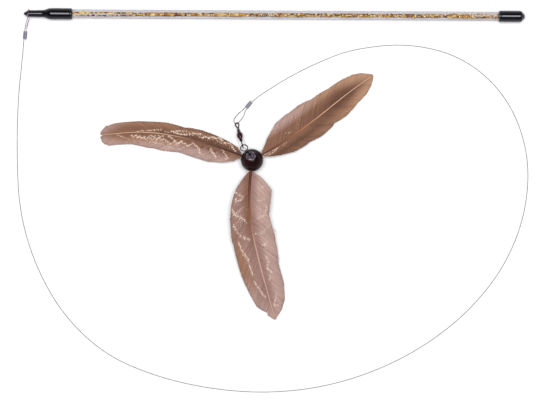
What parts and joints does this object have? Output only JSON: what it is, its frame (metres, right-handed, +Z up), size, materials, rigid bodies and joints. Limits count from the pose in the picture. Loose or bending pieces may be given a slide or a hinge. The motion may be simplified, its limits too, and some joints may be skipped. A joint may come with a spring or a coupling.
{
  "type": "cat teaser wand",
  "caption": "Cat teaser wand: clear glitter-filled tube with glossy end caps, a long looped wire leader, a barrel swivel and a black bead with brown feathers.",
  "frame": {"origin": "on the surface that the toy lies on, under the middle of the box round the wand and the lure", "axes": "+X along the wand from its tip to its handle end, +Y from the lure towards the wand, +Z up"},
  "size_m": [0.4534, 0.3399, 0.02],
  "materials": {
    "clear_tube": "clear extruded plastic, polished",
    "black_vinyl": "glossy dipped vinyl",
    "dowel": "bare turned dowel",
    "clear_plug": "clear moulded plug",
    "gold_glitter": "metallised film flakes",
    "leader_steel": "drawn spring wire",
    "crimp_sleeve": "pressed tube",
    "swivel_metal": "black nickel",
    "ring_wire": "dark drawn wire",
    "bead_lacquer": "black lacquer",
    "clear_glue": "clear set glue",
    "feather": "natural brown feather with pale wavy bars"
  },
  "bodies": {
    "wand": {"wand_tube": "clear_tube", "tip_cap": "black_vinyl", "tip_plug": "dowel", "handle_cap": "black_vinyl", "handle_plug": "clear_plug", "glitter_bed": "gold_glitter", "glitter_flakes": "gold_glitter"},
    "leader": {"tip_loop": "leader_steel", "tip_ferrule": "crimp_sleeve", "leader_wire": "leader_steel", "lure_ferrule": "crimp_sleeve", "lure_loop": "leader_steel"},
    "line_eye": {"swivel_line_eye": "swivel_metal"},
    "barrel": {"swivel_barrel": "swivel_metal"},
    "lure_eye": {"swivel_lure_eye": "swivel_metal"},
    "lure": {"bead_eye": "ring_wire", "bead": "bead_lacquer", "bead_glue": "clear_glue", "feather_left": "feather", "feather_right": "feather", "feather_lower": "feather"}
  },
  "joints": [
    {"name": "tip_loop_swing", "type": "hinge", "parent": "wand", "child": "leader", "pos_m": [-0.21755, 0.13195, 0.00505], "axis": [0, 1, 0], "range_deg": [-45, 15]},
    {"name": "line_eye_swing", "type": "hinge", "parent": "leader", "child": "line_eye", "pos_m": [-0.03282, 0.03527, 0.00271], "axis": [0, 0, 1], "range_deg": [-25, 15]},
    {"name": "line_eye_spin", "type": "hinge", "parent": "line_eye", "child": "barrel", "pos_m": [-0.02997, 0.0248, 0.00795], "axis": [-0.2361, 0.8691, -0.4346], "continuous": true},
    {"name": "lure_eye_spin", "type": "hinge", "parent": "barrel", "child": "lure_eye", "pos_m": [-0.02997, 0.0248, 0.00795], "axis": [-0.2361, 0.8691, -0.4346], "continuous": true},
    {"name": "bead_link_swing", "type": "hinge", "parent": "lure_eye", "child": "lure", "pos_m": [-0.0269, 0.0135, 0.0136], "axis": [-0.114, 0.4194, 0.9006], "range_deg": [-20, 30]}
  ]
}
